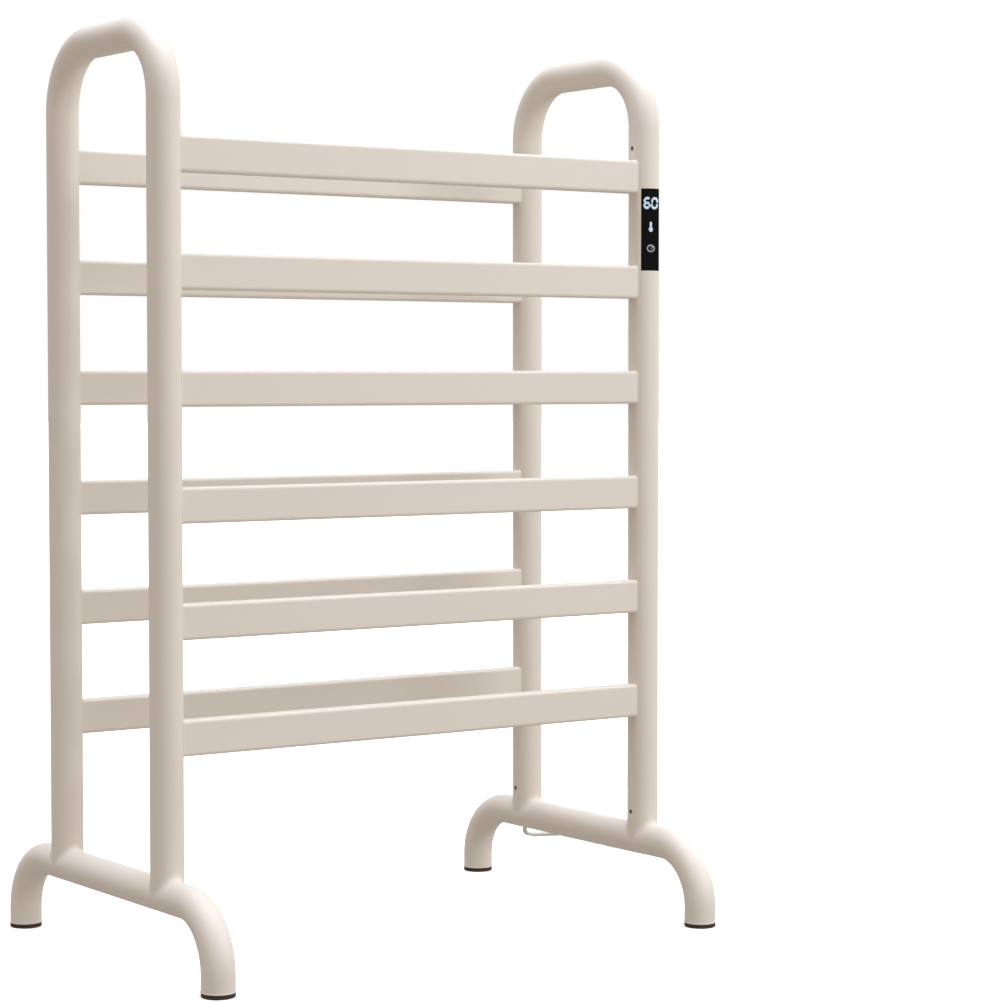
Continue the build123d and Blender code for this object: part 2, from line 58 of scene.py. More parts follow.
# Frame, read from the CAD nodes
tube_r = (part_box("left_hoop")[1].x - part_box("left_hoop")[0].x) / 2
post_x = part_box("right_hoop")[1].x - tube_r
post_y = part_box("right_hoop")[1].y - tube_r
foot_axis_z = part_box("left_foot_tube")[1].z - tube_r
leg_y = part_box("left_foot_tube")[1].y - tube_r
cap_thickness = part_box("left_foot_tube")[0].z
rail_low, rail_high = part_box("front_rail_1")
rail_thickness = rail_high.y - rail_low.y
rail_height = rail_high.z - rail_low.z

# Rails in each row, and the rounding of their long edges
rail_count = 6
rail_corner_r = 0.003

# Fillets that the coat leaves along the welds, and the rolled rim at the end of each leg
foot_weld_r = 0.007
rail_weld_r = 0.0012
rim_r = 0.0006
rim_sink = 0.0002

# Cord: its diameter and the route of its free stretch
cord_d = 0.0052
floor_gap = 0.00005
exit_z = 0.177
exit_angle = radians(54.8)  # from +X, in plan
gland_reach = 0.048
# Distance from the post axis in plan and height, then x and y on the floor
cord_drop = ((0.078, 0.177), (0.107, 0.171), (0.133, 0.1565), (0.155, 0.136), (0.174, 0.111),
             (0.191, 0.084), (0.209, 0.058), (0.229, 0.035), (0.2515, 0.0175), (0.2754, 0.0065))
cord_turn = ((0.4427, 0.3291), (0.4608, 0.3234), (0.472, 0.308))

# Hank: three full loops and one last run, folded at both ends
hank_left, hank_width = 0.472, 0.032
hank_rear, hank_length = 0.277, 0.118
hank_loops = 3
hank_layer = 0.00565
hank_waist = 0.002
hank_peel = 0.0062
hank_lead = 0.012
fold_points = 6  # on each half turn

# Gland with its ribbed sleeve, along the way out of the cord, from the post axis
gland_neck_r = 0.0054
flange_r, flange_thickness = 0.008, 0.0025
sleeve_r, tip_r = 0.0052, 0.0035
gland_sides = 48
sleeve_ribs = 7
rib_share = 0.62  # of a rib's pitch
groove_depth = 0.0009

# Strap round the hank
strap_thickness = 0.0012
strap_slack = 0.00005
strap_bevel = 0.6  # of half its thickness
strap_overlap = 0.020
strap_lift = 0.0013
tail_length = 1.1  # of the overlap
tail_rise = 0.5  # of the lift, at the tip of the loose end

# Plug: along Y from the end of its neck, half width and half height of each section
plug_sections = ((0.000, 0.0030, 0.0030), (0.002, 0.0034, 0.0034), (0.012, 0.0043, 0.0042),
                 (0.0145, 0.0062, 0.0050), (0.018, 0.0096, 0.0059), (0.023, 0.0133, 0.0066),
                 (0.030, 0.0163, 0.00685), (0.038, 0.0174, 0.00685), (0.0485, 0.01765, 0.00685),
                 (0.0497, 0.01735, 0.0066), (0.050, 0.0168, 0.0061))
neck_grooves = 3
# Share of a groove's pitch, and depth there
neck_groove = ((0.15, 0), (0.3, 0.0006), (0.6, 0.0006), (0.75, 0))
# Exponents of the plug's section: an ellipse at the neck, a rounded rectangle at the face
neck_power, face_power = 2, 5

# Figures and symbols that shine through the panel
panel_face_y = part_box("front_panel")[0].y
block_z = (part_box("display_block")[0].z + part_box("display_block")[1].z) / 2
digit_lift = 0.0007  # above the middle of the display block
digit_width, digit_height = 0.0088, 0.0118
digit_stroke = 0.0025
digit_space = 0.0005
digit_slant = 0.08
segment_gap = 0.00008
lit_rise = 0.00008  # in front of the panel's face
thermometer_height = 0.0100
bulb_r, stem_r = 0.0025, 0.0014
dial_lift = 0.0005  # above the middle of the timer key
dial_r_x, dial_r_z = 0.0050, 0.0037
dial_stroke = 0.0014
hand_reach = 0.42  # of the dial's half sizes
hand_stroke = 0.8  # of the dial's stroke

# Floor: plain white from its far radius on
floor_r = 30
floor_near, floor_far = 0.9, 3.2
floor_near_light = 0.35

# Light of the room below and above the horizon
room_low, room_high = 0.49, 0.78


class Value:
    """A socket whose value takes part in arithmetic."""

    def __init__(self, tree, socket):
        self.tree, self.socket = tree, socket

    def __add__(self, other):
        return self.tree.math("ADD", self, other)

    def __mul__(self, other):
        return self.tree.math("MULTIPLY", self, other)

    __radd__, __rmul__ = __add__, __mul__


class NodeTree:
    """The nodes of one material or of the studio's light."""

    def __init__(self, tree):
        self.tree = tree

    def node(self, kind, settings=(), sockets=()):
        """Adds a node. Its settings come first, then the values or links of its sockets."""
        made = self.tree.nodes.new(f"ShaderNode{kind}")
        for name, value in dict(settings).items():
            if name == "stops":
                for element, (position, shade) in zip(made.color_ramp.elements, value):
                    element.position, element.color = position, (shade, shade, shade, 1)
            else:
                setattr(made, name, value)
        for name, value in dict(sockets).items():
            self.feed(made.inputs[name], value)
        return made

    def feed(self, socket, value):
        """Links a socket to a Value or another socket, or sets it to a constant."""
        if isinstance(value, Value):
            value = value.socket
        if isinstance(value, bpy.types.NodeSocket):
            self.tree.links.new(value, socket)
        else:
            socket.default_value = value

    def math(self, operation, a, b=0.0):
        return Value(self, self.node("Math", {"operation": operation}, {0: a, 1: b}).outputs[0])


class Finish(NodeTree):
    """One surface finish as a node material."""

    def __init__(self, name, **fixed):
        self.material = bpy.data.materials.new(name)
        self.material.use_nodes = True
        super().__init__(self.material.node_tree)
        self.shader = self.tree.nodes["Principled BSDF"]
        self.place = self.node("TexCoord").outputs["Object"]
        for socket, value in fixed.items():
            self.shader.inputs[socket.replace("_", " ")].default_value = value

    def grain(self, scale, stretch=(1, 1, 1), detail=3.0, rough=0.5):
        """Noise from 0 to 1 at so many cells per metre, drawn out along an axis by stretch."""
        where = self.node("VectorMath", {"operation": "MULTIPLY"}, {0: self.place, 1: stretch})
        noise = self.node("TexNoise", {}, {
            "Vector": where.outputs[0], "Scale": scale, "Detail": detail, "Roughness": rough})
        return Value(self, noise.outputs["Fac"])

    def ramp(self, value, low, high):
        """A value that rises from 0 to 1 between low and high."""
        made = self.node("ValToRGB", {"stops": ((low, 0), (high, 1))}, {0: value})
        return Value(self, made.outputs["Color"])

    def blend(self, share, a, b):
        """Colour a where share is 0 and b where it is 1."""
        mix = self.node("Mix", {"data_type": "RGBA"}, {0: share, 6: a, 7: b})
        return mix.outputs[2]

    def colour(self, value):
        self.feed(self.shader.inputs["Base Color"], value)

    def roughness(self, value):
        self.feed(self.shader.inputs["Roughness"], value)

    def bump(self, height, distance, strength=1.0):
        """Surface relief: height from 0 to 1, distance in metres."""
        made = self.node("Bump", {}, {"Strength": strength, "Distance": distance, "Height": height})
        self.feed(self.shader.inputs["Normal"], made.outputs[0])


def rgb(red, green, blue):
    """Linear colour from the usual 0 to 255 values."""
    return tuple((((c / 255) + 0.055) / 1.055) ** 2.4 for c in (red, green, blue)) + (1.0,)


def powder_coat(name, light, dark, stretch=(1, 1, 1)):
    """Satin powder coat: faint orange peel, a slightly cloudy tone and fine specks."""
    coat = Finish(name, Specular_IOR_Level=0.3)
    cloud = coat.grain(9, stretch, detail=2)
    speck = coat.ramp(coat.grain(2600, detail=1), 0.62, 0.78)
    tone = coat.blend(cloud, dark, light)
    coat.colour(coat.blend(speck * 0.22, tone, rgb(198, 187, 174)))
    peel = coat.grain(750, detail=2, rough=0.6)
    coat.roughness(0.40 + peel * 0.10 + cloud * 0.06)
    coat.bump(peel, 0.00004, 0.6)
    return coat.material


def moulded(name, light, dark, rough, relief=0.00003, scale=1800):
    """Moulded plastic or rubber: fine spark texture with a little variation in tone."""
    plastic = Finish(name)
    fine = plastic.grain(scale, detail=3, rough=0.7)
    cloud = plastic.grain(40, detail=2)
    plastic.colour(plastic.blend(cloud * 0.6 + fine * 0.4, dark, light))
    plastic.roughness(fine * 0.16 + (rough - 0.08))
    plastic.bump(fine, relief)
    return plastic.material


def metal(name, light, dark, rough, stretch=(1, 1, 1)):
    """Bare metal with fine drawn lines."""
    bare = Finish(name, Metallic=1.0)
    lines = bare.grain(1500, stretch, detail=4, rough=0.7)
    bare.colour(bare.blend(lines, dark, light))
    bare.roughness(lines * 0.2 + (rough - 0.1))
    bare.bump(lines, 0.00001)
    return bare.material


def black_panel(name):
    """Gloss black acrylic with a trace of handling on it."""
    acrylic = Finish(name, Specular_IOR_Level=0.12)
    smear = acrylic.grain(60, (1, 1, 0.5), detail=4, rough=0.65)
    acrylic.colour(acrylic.blend(smear, rgb(4, 4, 6), rgb(9, 10, 12)))
    acrylic.roughness(smear * 0.14 + 0.05)
    acrylic.bump(acrylic.grain(25, detail=1), 0.00003, 0.3)
    return acrylic.material


def lit_symbol(name, core, edge, strength):
    """Light through the panel: a little uneven, as small lamps behind a mask are."""
    lamp = Finish(name, Roughness=0.25, Emission_Strength=strength)
    patch = lamp.ramp(lamp.grain(420, detail=1), 0.25, 0.7)
    shade = lamp.blend(patch, edge, core)
    lamp.colour(rgb(30, 34, 40))
    lamp.feed(lamp.shader.inputs["Emission Color"], shade)
    return lamp.material


def woven_strap(name, light, dark):
    """Flat woven strap: crossed threads with a soft nap."""
    strap = Finish(name)
    across = strap.node("TexWave", {"bands_direction": "Y"}, {"Vector": strap.place, "Scale": 260.0})
    along = strap.node("TexWave", {"bands_direction": "X"}, {"Vector": strap.place, "Scale": 260.0})
    threads = Value(strap, across.outputs["Fac"]) * Value(strap, along.outputs["Fac"])
    nap = strap.grain(2400, detail=2)
    strap.colour(strap.blend(threads * 0.7 + nap * 0.3, dark, light))
    strap.roughness(nap * 0.15 + 0.75)
    strap.bump(threads + nap * 0.5, 0.0002)
    return strap.material


def circuit_board(name):
    """Green lacquer over copper tracks."""
    board = Finish(name)
    tracks = board.node("TexBrick", {}, {"Vector": board.place, "Scale": 320.0, "Mortar Size": 0.03})
    mask = Value(board, tracks.outputs["Fac"])
    fine = board.grain(900)
    board.colour(board.blend(mask * 0.6 + fine * 0.2, rgb(14, 74, 44), rgb(70, 130, 80)))
    board.roughness(fine * 0.1 + 0.35)
    board.bump(mask, 0.00003)
    return board.material


def studio_floor(name, near, far):
    """Pale floor that turns to plain white away from the object."""
    floor = Finish(name, Roughness=0.8)
    flat = floor.node("VectorMath", {"operation": "MULTIPLY"}, {0: floor.place, 1: (1, 1, 0)})
    length = floor.node("VectorMath", {"operation": "LENGTH"}, {0: flat.outputs[0]})
    distance = Value(floor, length.outputs["Value"])
    fade = floor.node("MapRange", {"interpolation_type": "SMOOTHSTEP"}, {
        "Value": distance, "From Min": near, "From Max": far, "To Min": floor_near_light})
    dust = floor.grain(60, detail=3)
    floor.colour(floor.blend(dust * 0.3, rgb(246, 245, 243), rgb(243, 242, 240)))
    shine = floor.blend(Value(floor, fade.outputs["Result"]), (0, 0, 0, 1), (1, 1, 1, 1))
    floor.feed(floor.shader.inputs["Emission Color"], shine)
    floor.shader.inputs["Emission Strength"].default_value = 1.0
    return floor.material


finishes = {
    "frame_coat": powder_coat("frame_coat", rgb(231, 222, 211), rgb(226, 216, 204), (1, 1, 0.5)),
    "rail_coat": powder_coat("rail_coat", rgb(230, 221, 210), rgb(225, 215, 203), (0.3, 1, 1)),
    "bare_steel": metal("bare_steel", rgb(186, 186, 184), rgb(150, 150, 150), 0.42, (1, 1, 0.2)),
    "foot_rubber": moulded("foot_rubber", rgb(66, 52, 42), rgb(44, 34, 27), 0.72, 0.00005),
    "heater_sleeve": moulded("heater_sleeve", rgb(212, 120, 84), rgb(190, 98, 66), 0.6),
    "joint_plastic": moulded("joint_plastic", rgb(234, 232, 224), rgb(220, 217, 208), 0.5),
    "screw_steel": metal("screw_steel", rgb(150, 138, 124), rgb(110, 100, 90), 0.5),
    "wire_sleeve": moulded("wire_sleeve", rgb(60, 60, 62), rgb(44, 44, 46), 0.65),
    "panel_black": black_panel("panel_black"),
    "housing_plastic": moulded("housing_plastic", rgb(52, 52, 54), rgb(38, 38, 40), 0.6),
    "board_green": circuit_board("board_green"),
    "cord_grey": moulded("cord_grey", rgb(222, 219, 213), rgb(208, 205, 199), 0.48),
    "tie_strap": woven_strap("tie_strap", rgb(92, 92, 94), rgb(48, 48, 50)),
    "plug_grey": moulded("plug_grey", rgb(220, 217, 211), rgb(207, 204, 198), 0.42, 0.00004, 1400),
    "pin_brass": metal("pin_brass", rgb(222, 214, 190), rgb(196, 186, 160), 0.25, (1, 0.1, 1)),
}
digit_light = lit_symbol("digit_light", (0.66, 0.88, 1, 1), (0.30, 0.38, 0.47, 1), 0.95)
symbol_light = lit_symbol("symbol_light", (0.66, 0.78, 0.9, 1), (0.42, 0.52, 0.64, 1), 0.95)
dial_light = lit_symbol("dial_light", (0.62, 0.65, 0.68, 1), (0.26, 0.28, 0.3, 1), 0.6)

slot_of = {sub["node"]: sub["material_slot"] for sub in frame["record"]["subparts"]}


def paint(mesh, material):
    """Gives a mesh one material."""
    mesh.materials.clear()
    mesh.materials.append(material)


for node_name, node in nodes.items():
    paint(node.data, finishes[slot_of[node_name]])


def at(*values):
    return Vector(values)


def skin(bm, rings, closed=False, caps=True):
    """Faces between successive rings of points; each ring is closed on itself."""
    rows = [[bm.verts.new(point) for point in ring] for ring in rings]
    pairs = list(zip(rows, rows[1:]))
    if closed:
        pairs.append((rows[-1], rows[0]))
    for row, after in pairs:
        for i in range(len(row)):
            j = (i + 1) % len(row)
            bm.faces.new((row[i], row[j], after[j], after[i]))
    if caps and not closed:
        bm.faces.new(rows[0])
        bm.faces.new(rows[-1])


def make_piece(name, build, material, body="frame", smooth_angle=40):
    """A mesh piece on a body: build fills a bmesh with it."""
    bm = bmesh.new()
    build(bm)
    bmesh.ops.recalc_face_normals(bm, faces=bm.faces)
    for face in bm.faces:
        face.smooth = True
    for edge in bm.edges:
        edge.smooth = len(edge.link_faces) == 2 and edge.calc_face_angle(0) < radians(smooth_angle)
    mesh = bpy.data.meshes.new(name)
    bm.to_mesh(mesh)
    bm.free()
    paint(mesh, material)
    made = bpy.data.objects.new(name, mesh)
    bpy.context.scene.collection.objects.link(made)
    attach(made, body)
    return made


def fillet_section(corner, a, b, steps=5):
    """Closed section of a fillet that fills the corner between points a and b."""
    arc = []
    for i in range(steps + 1):
        t = i / steps
        arc.append(a * (1 - t) ** 2 + corner * (2 * t * (1 - t)) + b * t ** 2)
    return [corner, *arc]


def make_camera():
    data = bpy.data.cameras.new("camera")
    data.sensor_width = sensor_width
    data.lens = sensor_width * focal_px / photo_px
    data.clip_end = 100
    camera = bpy.data.objects.new("camera", data)
    camera.location = camera_place
    camera.rotation_euler = (radians(90 + camera_pitch), 0, -radians(camera_yaw))
    bpy.context.scene.collection.objects.link(camera)
    bpy.context.scene.camera = camera


def hank_route(start_z, end_z):
    """Points of the hank: stacked loops, each climbing a layer along its right-hand run."""
    left, right = hank_left, hank_left + hank_width
    front, rear = hank_rear - hank_length, hank_rear
    mid = (front + rear) / 2
    outer = right + hank_peel

    def fold(x_from, x_to, y, z):
        """Half turn from one side to the other, outwards at a front or a rear end."""
        r = abs(x_to - x_from) / 2
        inward = 1 if y == front else -1
        across = 1 if x_to > x_from else -1
        centre_x, centre_y = (x_from + x_to) / 2, y + inward * r
        points = []
        for i in range(fold_points):
            turn = pi * (i + 0.5) / fold_points
            reach = r / cos(pi / 2 / fold_points)
            points.append(at(centre_x - across * reach * cos(turn),
                             centre_y - inward * reach * sin(turn), z))
        return points

    points = [at(left, rear + hank_lead, start_z), at(left, rear, start_z)]
    for layer in range(hank_loops):
        low = start_z + layer * hank_layer
        high = low + hank_layer
        points += [at(left + hank_waist, mid, low), *fold(left, right, front, low)]
        points += [at(right - hank_waist, mid, (low + high) / 2), *fold(right, left, rear, high)]
    points += [at(left + hank_waist, mid, high), *fold(left, outer, front, high)]
    points += [at(outer - hank_waist, mid, (high + end_z) / 2)]
    points += [at(outer, rear, end_z), at(outer, rear + hank_lead, end_z)]
    return points


def make_cord():
    """The mains cord: its drop behind the post, its way over the floor, and the hank."""
    plug_low, plug_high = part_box("plug_body")
    along = at(cos(exit_angle), sin(exit_angle), 0)
    post = at(post_x, post_y, 0)
    tie_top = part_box("cord_tie")[0].z + strap_thickness
    hank_z = cord_d / 2 + tie_top + floor_gap
    drop = [(gland_reach, exit_z), *cord_drop]
    points = [post + along * s + at(0, 0, z) for s, z in drop]
    points += [at(x, y, cord_d / 2 + floor_gap) for x, y in cord_turn[:-1]]
    points += [at(*cord_turn[-1], hank_z)]
    points += hank_route(hank_z, (plug_low.z + plug_high.z) / 2)
    data = bpy.data.curves.new("mains_cord", "CURVE")
    data.dimensions = "3D"
    data.bevel_depth = cord_d / 2
    data.bevel_resolution = 4
    data.resolution_u = 8
    data.use_fill_caps = True
    line = data.splines.new("NURBS")
    line.points.add(len(points) - 1)
    for spot, point in zip(line.points, points):
        spot.co = (*point, 1)
    line.order_u = 3
    line.use_endpoint_u = True
    data.materials.append(finishes["cord_grey"])
    cord = bpy.data.objects.new("mains_cord", data)
    bpy.context.scene.collection.objects.link(cord)
    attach(cord, "frame")
    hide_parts("power_cord", "cord_hank")
    return cord


def make_gland():
    """Rubber gland: a flange that follows the round post and a ribbed, tapered sleeve."""
    along = at(cos(exit_angle), sin(exit_angle), 0)
    across = at(-sin(exit_angle), cos(exit_angle), 0)
    base = at(post_x, post_y, exit_z)
    flange_end = tube_r + flange_thickness
    bevel = flange_thickness / 4
    profile = [(tube_r, gland_neck_r), (tube_r, flange_r), (flange_end - bevel, flange_r),
               (flange_end, flange_r - bevel), (flange_end, sleeve_r + bevel),
               (flange_end + bevel, sleeve_r)]
    first = flange_end + 2 * bevel
    pitch = (gland_reach - first) / sleeve_ribs
    for i in range(sleeve_ribs):
        start = first + i * pitch
        outer = sleeve_r + (tip_r - sleeve_r) * i / (sleeve_ribs - 1)
        inner = outer - groove_depth
        rib_end = start + pitch * rib_share
        profile += [(start, outer), (rib_end, outer)]
        if i < sleeve_ribs - 1:
            profile += [(rib_end + bevel / 2, inner), (start + pitch - bevel / 2, inner)]
    profile += [(gland_reach, tip_r - bevel), (gland_reach, cord_d / 2)]

    def build(bm):
        rings = []
        for number, (s, r) in enumerate(profile):
            ring = []
            for i in range(gland_sides):
                turn = 2 * pi * i / gland_sides
                side = r * cos(turn)
                # the first two rings lie on the round post
                reach = sqrt(tube_r ** 2 - side ** 2) if number < 2 else s
                ring.append(base + along * reach + across * side + at(0, 0, r * sin(turn)))
            rings.append(ring)
        skin(bm, rings)

    gland = make_piece("cord_gland_sleeve", build, finishes["cord_grey"])
    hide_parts("cord_gland")
    return gland


def make_strap():
    """Woven strap round the hank, with its loose end lapped over the top."""
    low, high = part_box("cord_tie")
    first = low.z + strap_thickness + floor_gap + cord_d / 2
    top = first + hank_loops * hank_layer
    waist = hank_waist * 3 / 4  # as far as the curve follows its points
    left, right = hank_left + waist, hank_left + hank_width - waist
    last_z = (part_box("plug_body")[0].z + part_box("plug_body")[1].z) / 2
    # the outermost runs of cord inside the strap, clockwise from the upper left
    runs = [at(left, 0, top), at(right, 0, top - hank_layer / 2),
            at(right + hank_peel, 0, (top + last_z) / 2),
            at(right, 0, first + hank_layer / 2), at(left, 0, first)]
    r = cord_d / 2 + strap_slack + strap_thickness / 2
    sides = []
    for here, after in zip(runs, runs[1:] + runs[:1]):
        along = (after - here).normalized()
        sides.append((along, at(-along.z, 0, along.x)))
    over, up = sides[0]
    middle = (runs[0] + runs[1]) / 2 + up * r
    corner_steps, tail_steps = 6, 8
    path = [(middle - over * strap_overlap / 2, up)]
    for number in [*range(1, len(runs)), 0]:
        before, after = sides[number - 1][1], sides[number][1]
        start = atan2(before.z, before.x)
        bend = (start - atan2(after.z, after.x)) % (2 * pi)
        for i in range(corner_steps + 1):
            turn = start - bend * i / corner_steps
            outward = at(cos(turn), 0, sin(turn))
            path.append((runs[number] + outward * r, outward))
    for i in range(tail_steps + 1):
        lift = strap_lift * (1.0 + tail_rise * (i / tail_steps) ** 3)
        along = strap_overlap * (tail_length * i / tail_steps - 0.5)
        path.append((middle + over * along + up * lift, up))

    def build(bm):
        t = strap_thickness / 2
        edge = t * strap_bevel
        rings = []
        for here, outward in path:
            ring = []
            for y, out in ((low.y, -t + edge), (low.y, t - edge), (low.y + edge, t),
                           (high.y - edge, t), (high.y, t - edge), (high.y, -t + edge),
                           (high.y - edge, -t), (low.y + edge, -t)):
                ring.append(at(here.x, y, here.z) + outward * out)
            rings.append(ring)
        skin(bm, rings)

    strap = make_piece("hank_strap", build, finishes["tie_strap"])
    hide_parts("cord_tie")
    return strap


def make_plug():
    """Flat two-pin plug: a wide face, shoulders drawn in to a grooved neck."""
    low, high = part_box("plug_body")
    centre = at((low.x + high.x) / 2, low.y, (low.z + high.z) / 2)
    sections = list(plug_sections[:2])
    (y0, w0, h0), (y1, w1, h1) = plug_sections[1], plug_sections[2]
    for i in range(neck_grooves):
        for share, shrink in neck_groove:
            t = (i + share) / neck_grooves
            sections.append((y0 + (y1 - y0) * t, w0 + (w1 - w0) * t - shrink,
                             h0 + (h1 - h0) * t - shrink))
    sections += plug_sections[2:]
    sides = 64

    def build(bm):
        rings = []
        for y, half_w, half_h in sections:
            widening = (half_w - w0) / (plug_sections[-2][1] - w0)
            power = neck_power + (face_power - neck_power) * widening
            ring = []
            for i in range(sides):
                turn = 2 * pi * i / sides
                c, s = cos(turn), sin(turn)
                x = half_w * abs(c) ** (2 / power) * (1 if c > 0 else -1)
                z = half_h * abs(s) ** (2 / power) * (1 if s > 0 else -1)
                ring.append(centre + at(x, y, z))
            rings.append(ring)
        skin(bm, rings)

    plug = make_piece("plug_moulding", build, finishes["plug_grey"])
    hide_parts("plug_body")
    return plug


def make_foot_welds():
    """Coated weld fillets where the posts stand on the foot tubes, thinner towards their sides."""
    end = 0.06  # radians left out where the two tubes run into each other
    steps = 36
    for side, side_name in ((-1, "left"), (1, "right")):
        def build(bm, x=side * post_x):
            for y in (-post_y, post_y):
                for face in (-1, 1):
                    rings = []
                    for i in range(steps + 1):
                        turn = end + (pi - 2 * end) * i / steps
                        c, s = cos(turn), sin(turn)
                        spread = foot_weld_r * sqrt(s)
                        corner = at(x + tube_r * c, y + face * tube_r * s, foot_axis_z + tube_r * s)
                        on_post = corner + at(0, 0, spread)
                        on_foot = corner + at(0, face * spread, 0)
                        rings.append(fillet_section(corner, on_post, on_foot, 6))
                    skin(bm, rings)

        make_piece(f"{side_name}_foot_welds", build, finishes["frame_coat"],
                   smooth_angle=50)


def rail_outline(y, z):
    """Points and outward directions round the outside of a rail, as (y, z) pairs."""
    half_y, half_z = rail_thickness / 2, rail_height / 2
    corner_steps = 5
    outline = []
    for sy, sz, start in ((1, 1, 0), (-1, 1, pi / 2), (-1, -1, pi), (1, -1, 3 * pi / 2)):
        for i in range(corner_steps + 1):
            turn = start + pi / 2 * i / corner_steps
            out_y, out_z = cos(turn), sin(turn)
            outline.append((y + sy * (half_y - rail_corner_r) + rail_corner_r * out_y,
                            z + sz * (half_z - rail_corner_r) + rail_corner_r * out_z,
                            out_y, out_z))
    return outline


def make_rail_welds():
    """Thin coated fillets where the ends of the rails enter the posts."""
    for side, side_name in ((-1, "left"), (1, "right")):
        for row, row_name in ((-1, "front"), (1, "rear")):
            def build(bm, side=side, row=row, row_name=row_name):
                for number in range(1, rail_count + 1):
                    low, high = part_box(f"{row_name}_rail_{number}")
                    rings = []
                    for y, z, out_y, out_z in rail_outline(row * post_y, (low.z + high.z) / 2):
                        off = y - row * post_y
                        deep = sqrt(tube_r ** 2 - off ** 2)
                        corner = at(side * (post_x - deep), y, z)
                        normal = at(-side * deep, off, 0) / tube_r
                        outward = at(0, out_y, out_z)
                        spread = (outward - normal * outward.dot(normal)).normalized()
                        inward = at(-side, 0, 0)
                        rings.append(fillet_section(corner, corner + inward * rail_weld_r,
                                                    corner + spread * rail_weld_r, 3))
                    skin(bm, rings, closed=True)

            make_piece(f"{row_name}_{side_name}_rail_welds", build, finishes["frame_coat"],
                       smooth_angle=60)


def make_leg_rims():
    """Rolled edge at the bottom end of each leg, over its cap."""
    round_steps, rim_steps = 64, 8
    for side, side_name in ((-1, "left"), (1, "right")):
        def build(bm, x=side * post_x):
            for y in (-leg_y, leg_y):
                rings = []
                for i in range(round_steps):
                    turn = 2 * pi * i / round_steps
                    out = at(cos(turn), sin(turn), 0)
                    ring = []
                    for k in range(rim_steps):
                        bend = 2 * pi * k / rim_steps
                        reach = tube_r - rim_sink + rim_r * cos(bend)
                        rise = cap_thickness + rim_r * (1 + sin(bend))
                        ring.append(at(x, y, rise) + out * reach)
                    rings.append(ring)
                skin(bm, rings, closed=True)

        make_piece(f"{side_name}_leg_rims", build, finishes["frame_coat"],
                   smooth_angle=80)


def plate(bm, outline, y, hole=None):
    """Thin plate in front of the panel from an outline of (x, z) points, with an optional hole."""
    back = y + lit_rise * 2
    front = [bm.verts.new((x, y, z)) for x, z in outline]
    rear = [bm.verts.new((x, back, z)) for x, z in outline]
    count = len(outline)
    for i in range(count):
        j = (i + 1) % count
        bm.faces.new((front[i], front[j], rear[j], rear[i]))
    if hole is None:
        bm.faces.new(front)
        bm.faces.new(rear)
        return
    inner = [bm.verts.new((x, y, z)) for x, z in hole]
    deep = [bm.verts.new((x, back, z)) for x, z in hole]
    for i in range(count):
        j = (i + 1) % count
        bm.faces.new((inner[i], inner[j], deep[j], deep[i]))
        bm.faces.new((front[i], front[j], inner[j], inner[i]))
        bm.faces.new((rear[i], rear[j], deep[j], deep[i]))


def segment(start, end, width):
    """Bar with pointed ends between two (x, z) points."""
    a, b = Vector(start), Vector(end)
    along = (b - a).normalized()
    across = Vector((-along.y, along.x)) * width / 2
    tip = along * width / 2
    return [a, a + tip + across, b - tip + across, b, b - tip - across, a + tip - across]


def make_digits():
    """The figures 60, each from seven-bar segments."""
    y = panel_face_y - lit_rise
    half_w = (digit_width - digit_stroke) / 2
    half_h = (digit_height - digit_stroke) / 2
    bars = {
        "top": ((-half_w, half_h), (half_w, half_h)),
        "middle": ((-half_w, 0), (half_w, 0)),
        "bottom": ((-half_w, -half_h), (half_w, -half_h)),
        "upper_left": ((-half_w, 0), (-half_w, half_h)),
        "upper_right": ((half_w, 0), (half_w, half_h)),
        "lower_left": ((-half_w, -half_h), (-half_w, 0)),
        "lower_right": ((half_w, -half_h), (half_w, 0)),
    }
    six = [name for name in bars if name != "upper_right"]
    zero = [name for name in bars if name != "middle"]
    for number, (name, lit) in enumerate((("tens_figure", six), ("units_figure", zero))):
        centre = post_x + (number - 0.5) * (digit_width + digit_space)

        def build(bm, lit=lit, centre=centre):
            for bar in lit:
                start, end = (Vector(p) for p in bars[bar])
                pull = (end - start).normalized() * segment_gap
                outline = segment(start + pull, end - pull, digit_stroke)
                plate(bm, [(centre + p.x + digit_slant * p.y, block_z + digit_lift + p.y)
                           for p in outline], y)

        make_piece(name, build, digit_light)


def key_centre(key):
    low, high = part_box(key)
    return at((low.x + high.x) / 2, low.y - lit_rise, (low.z + high.z) / 2)


def ring_points(centre, radius_x, radius_z, count=40, start=0.0, sweep=2 * pi):
    """Points of an ellipse or a part of one, as (x, z) pairs."""
    return [(centre[0] + radius_x * cos(start + sweep * i / count),
             centre[1] + radius_z * sin(start + sweep * i / count)) for i in range(count)]


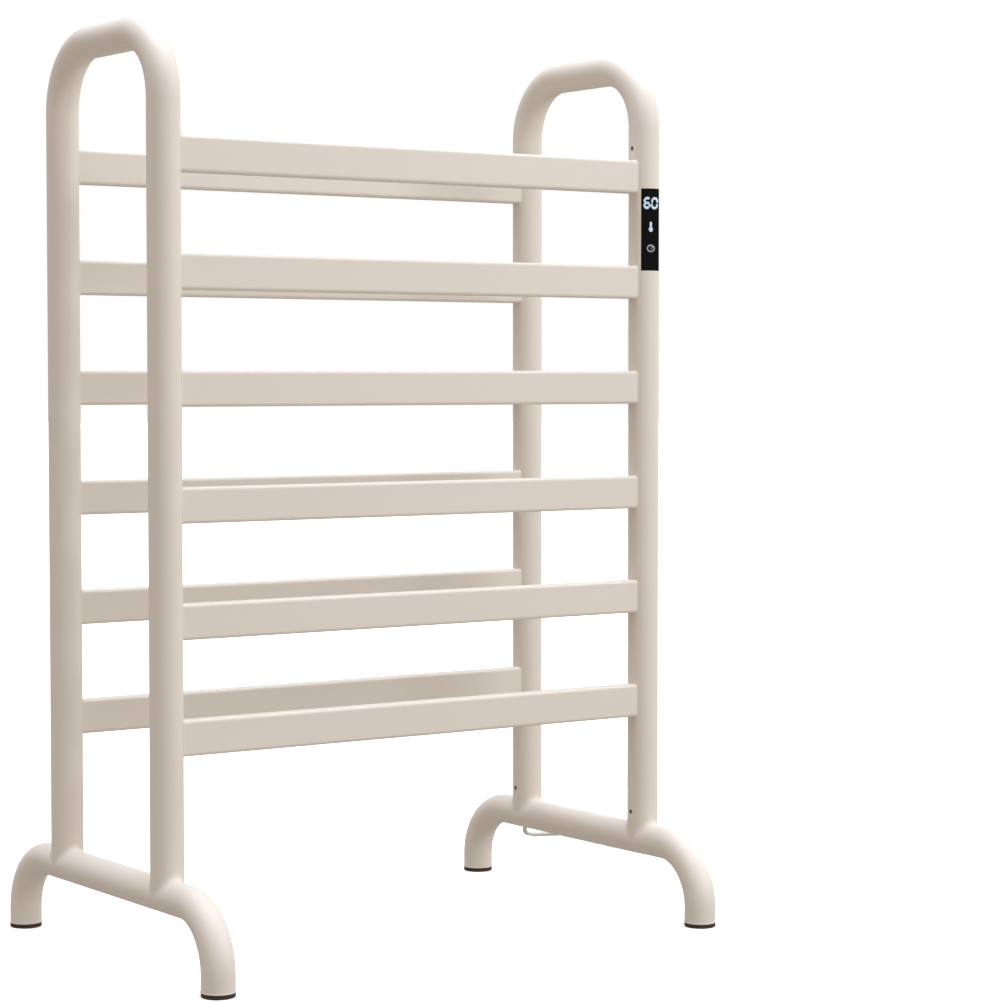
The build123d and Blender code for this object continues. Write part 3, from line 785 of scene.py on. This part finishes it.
def make_key_symbols():
    """A thermometer on the temperature key and a dial with a hand on the timer key."""
    place = key_centre("temperature_key")
    bulb_z = place.z - thermometer_height / 2 + bulb_r
    stem_top = place.z + thermometer_height / 2 - stem_r
    bulb_steps, tip_steps = 24, 12

    def thermometer(bm):
        outline = []
        meet = atan2(sqrt(bulb_r ** 2 - stem_r ** 2), stem_r)
        for i in range(bulb_steps + 1):
            turn = pi - meet + (pi + 2 * meet) * i / bulb_steps
            outline.append((place.x + bulb_r * cos(turn), bulb_z + bulb_r * sin(turn)))
        for i in range(tip_steps + 1):
            turn = pi * i / tip_steps
            outline.append((place.x + stem_r * cos(turn), stem_top + stem_r * sin(turn)))
        plate(bm, outline, place.y)

    make_piece("thermometer_symbol", thermometer, symbol_light, "temperature_key")

    spot = key_centre("timer_key") + at(0, 0, dial_lift)

    def dial(bm):
        outer = ring_points((spot.x, spot.z), dial_r_x, dial_r_z)
        inner = ring_points((spot.x, spot.z), dial_r_x - dial_stroke, dial_r_z - dial_stroke)
        plate(bm, outer, spot.y, inner)
        hand_start = (spot.x, spot.z - dial_stroke / 2)
        hand_end = (spot.x + dial_r_x * hand_reach, spot.z + dial_r_z * hand_reach)
        hand = segment(hand_start, hand_end, dial_stroke * hand_stroke)
        plate(bm, [(p.x, p.y) for p in hand], spot.y)

    make_piece("dial_symbol", dial, dial_light, "timer_key")


def make_floor():
    bm = bmesh.new()
    bmesh.ops.create_circle(bm, cap_ends=True, segments=96, radius=floor_r)
    mesh = bpy.data.meshes.new("floor")
    bm.to_mesh(mesh)
    bm.free()
    paint(mesh, studio_floor("studio_floor", floor_near, floor_far))
    floor = bpy.data.objects.new("floor", mesh)
    bpy.context.scene.collection.objects.link(floor)
    floor.visible_diffuse = False
    floor.visible_glossy = False


def make_light(name, place, target, size, power, colour=(1, 1, 1)):
    data = bpy.data.lights.new(name, "AREA")
    data.shape = "RECTANGLE"
    data.size, data.size_y = size
    data.energy = power
    data.color = colour
    light = bpy.data.objects.new(name, data)
    light.location = place
    light.rotation_euler = (Vector(target) - Vector(place)).to_track_quat("-Z", "Y").to_euler()
    bpy.context.scene.collection.objects.link(light)


def make_studio():
    """Soft key light from the upper right, an overhead softbox and even light all round."""
    middle = (0, 0, 0.42)
    make_light("key_light", (1.5, -2.5, 1.65), middle, (1.2, 1.2), 35, (0.92, 1, 1.05))
    make_light("top_light", (0.2, 0.1, 6.0), middle, (4.5, 4.5), 320, (0.87, 1, 1.2))
    make_light("side_light", (2.8, 0, 1.2), middle, (1.6, 1.6), 9)
    world = bpy.data.worlds.new("studio")
    bpy.context.scene.world = world
    world.use_nodes = True
    air = NodeTree(world.node_tree)
    way = air.node("TexCoord").outputs["Generated"]
    height = air.node("SeparateXYZ", {}, {0: way}).outputs["Z"]
    rise = air.node("MapRange", {}, {
        "Value": height, "From Min": 0, "From Max": 1, "To Min": room_low, "To Max": room_high})
    around = world.node_tree.nodes["Background"]
    air.feed(around.inputs["Color"], (1, 0.92, 0.86, 1))
    air.feed(around.inputs["Strength"], rise.outputs["Result"])
    backdrop = air.node("Background", {}, {"Color": (1, 1, 1, 1)})
    seen = air.node("LightPath").outputs["Is Camera Ray"]
    mix = air.node("MixShader", {}, {0: seen, 1: around.outputs[0], 2: backdrop.outputs[0]})
    air.feed(world.node_tree.nodes["World Output"].inputs["Surface"], mix.outputs[0])
    bpy.context.scene.view_settings.view_transform = "Standard"


make_camera()
mains_cord = make_cord()
gland = make_gland()
strap = make_strap()
plug = make_plug()
make_foot_welds()
make_rail_welds()
make_leg_rims()
make_digits()
make_key_symbols()
make_floor()
make_studio()
